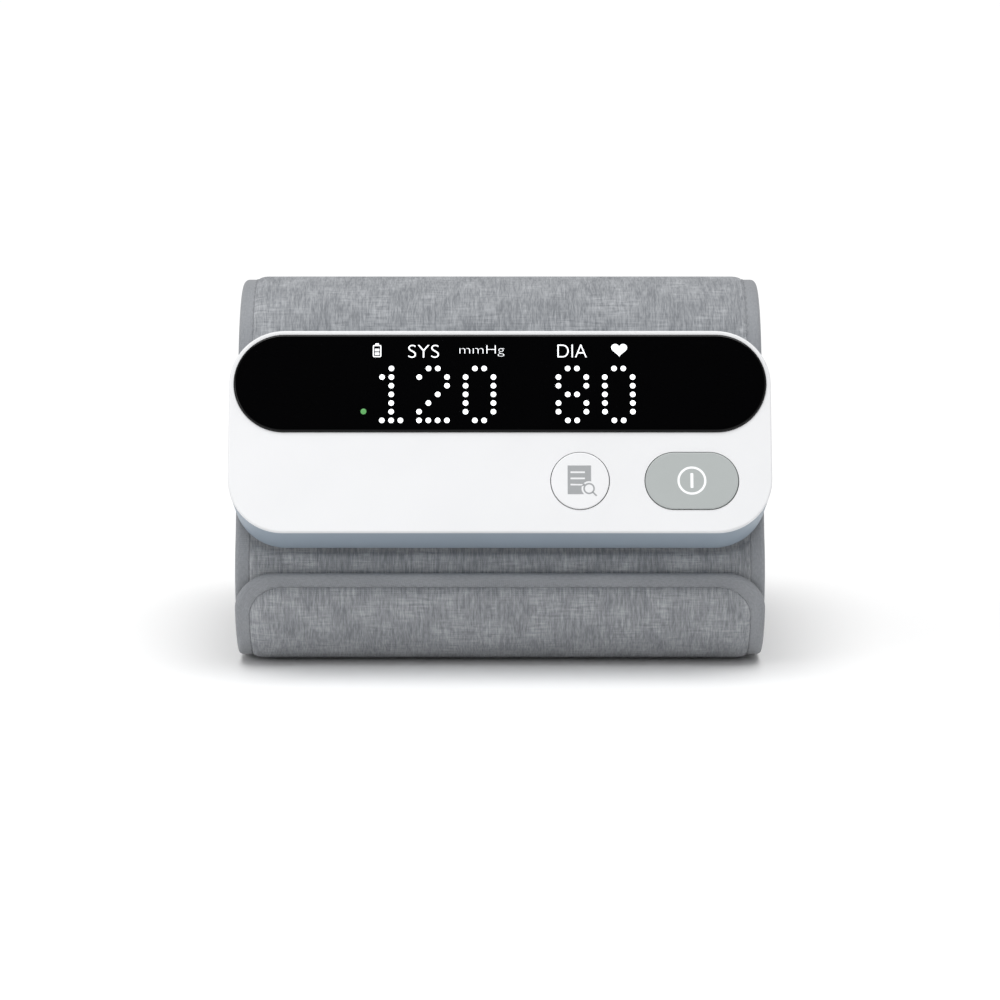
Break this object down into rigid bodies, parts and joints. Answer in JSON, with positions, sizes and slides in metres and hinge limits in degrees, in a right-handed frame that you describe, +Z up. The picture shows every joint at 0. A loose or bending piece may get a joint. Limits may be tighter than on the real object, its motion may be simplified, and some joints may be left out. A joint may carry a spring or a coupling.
{
  "type": "upper arm blood pressure monitor",
  "caption": "One-piece upper arm blood pressure monitor: a slim unit with a dot display and push buttons, fixed to a wrapped fabric cuff that stands on its side.",
  "frame": {"origin": "middle of the flat stretch of the cuff's base, on the surface it stands on", "axes": "+X to the right as seen from the display side, along the cuff's width; -Y towards the viewer; +Z up"},
  "size_m": [0.1464, 0.1307, 0.103],
  "materials": {
    "white_plastic": "fine satin moulding",
    "grey_plastic": "satin moulding",
    "black_lens": "polished black acrylic",
    "button_white": "satin moulding",
    "button_grey": "satin moulding",
    "dot_lights": "white diffusers over a black carrier",
    "label_lights": "white backlit labels",
    "green_light": "green diffuser",
    "board_green": "solder resist",
    "black_plastic": "moulded",
    "screw_steel": "zinc plated",
    "socket_steel": "stamped",
    "motor_steel": "drawn can",
    "shaft_steel": "ground",
    "battery_foil": "laminated foil",
    "foam_tape": "double-sided foam",
    "adhesive": "clear adhesive film",
    "soft_rubber": "moulded",
    "hose_silicone": "translucent silicone",
    "lead_sleeve": "red insulated wires in a sleeve",
    "plug_plastic": "moulded nylon",
    "air_plastic": "moulded",
    "head_plastic": "moulded",
    "stiffener_sheet": "rolled sheet",
    "bladder_film": "welded film",
    "melange_fabric": "grey melange knit, padded",
    "loop_pile": "grey loop pile",
    "lining_fabric": "smooth tricot",
    "binding_tape": "woven edge tape",
    "hook_tape": "moulded hooks"
  },
  "bodies": {
    "monitor": {"front_housing": "white_plastic", "rear_housing": "grey_plastic", "display_lens": "black_lens", "lens_adhesive": "adhesive", "display_board": "board_green", "led_array": "dot_lights", "label_lights": "label_lights", "status_led": "green_light", "display_header": "black_plastic", "main_board": "board_green", "board_screws": "screw_steel", "housing_screws": "screw_steel", "bracket_screws": "screw_steel", "power_switch": "black_plastic", "memory_switch": "black_plastic", "charging_socket": "socket_steel", "socket_tongue": "black_plastic", "battery_pad": "foam_tape", "battery": "battery_foil", "pump_motor": "motor_steel", "pump_mount": "soft_rubber", "pump_head": "head_plastic", "air_manifold": "air_plastic", "nipple_seal": "soft_rubber", "pressure_sensor": "black_plastic", "sensor_washer": "soft_rubber", "release_valve": "head_plastic", "pump_hose": "hose_silicone", "valve_hose": "hose_silicone", "battery_lead": "lead_sleeve", "pump_lead": "lead_sleeve", "valve_lead": "lead_sleeve", "lead_plugs": "plug_plastic", "board_chips": "black_plastic", "air_nipple": "air_plastic", "cuff_bracket": "air_plastic", "cuff_outer_fabric": "melange_fabric", "loop_patch": "loop_pile", "cuff_stiffener": "stiffener_sheet", "air_bladder": "bladder_film", "cuff_lining": "lining_fabric", "sewn_edges": "lining_fabric", "left_binding": "binding_tape", "right_binding": "binding_tape", "inner_end_binding": "binding_tape"},
    "power_button": {"power_button": "button_grey", "power_plunger": "black_plastic"},
    "memory_button": {"memory_button": "button_white", "memory_plunger": "black_plastic"},
    "flap": {"flap_panel": "melange_fabric", "flap_binding": "binding_tape", "hook_patch": "hook_tape"},
    "pump_crank": {"pump_crank": "shaft_steel"},
    "valve_plunger": {"valve_plunger": "shaft_steel"}
  },
  "joints": [
    {"name": "power_press", "type": "slide", "parent": "monitor", "child": "power_button", "axis": [0, 0.9228, -0.3853], "range_m": [0, 0.0006], "stiffness_N_per_m": 2500},
    {"name": "memory_press", "type": "slide", "parent": "monitor", "child": "memory_button", "axis": [0, 0.9228, -0.3853], "range_m": [0, 0.0006], "stiffness_N_per_m": 2500},
    {"name": "flap_peel", "type": "hinge", "parent": "monitor", "child": "flap", "pos_m": [0, -0.04306, 0.00776], "axis": [1, 0, 0], "range_deg": [0, 80]},
    {"name": "pump_spin", "type": "hinge", "parent": "monitor", "child": "pump_crank", "pos_m": [-0.036, -0.04933, 0.0506], "axis": [1, 0, 0], "continuous": true},
    {"name": "valve_slide", "type": "slide", "parent": "monitor", "child": "valve_plunger", "axis": [1, 0, 0], "range_m": [0, 0.0008], "stiffness_N_per_m": 400}
  ]
}
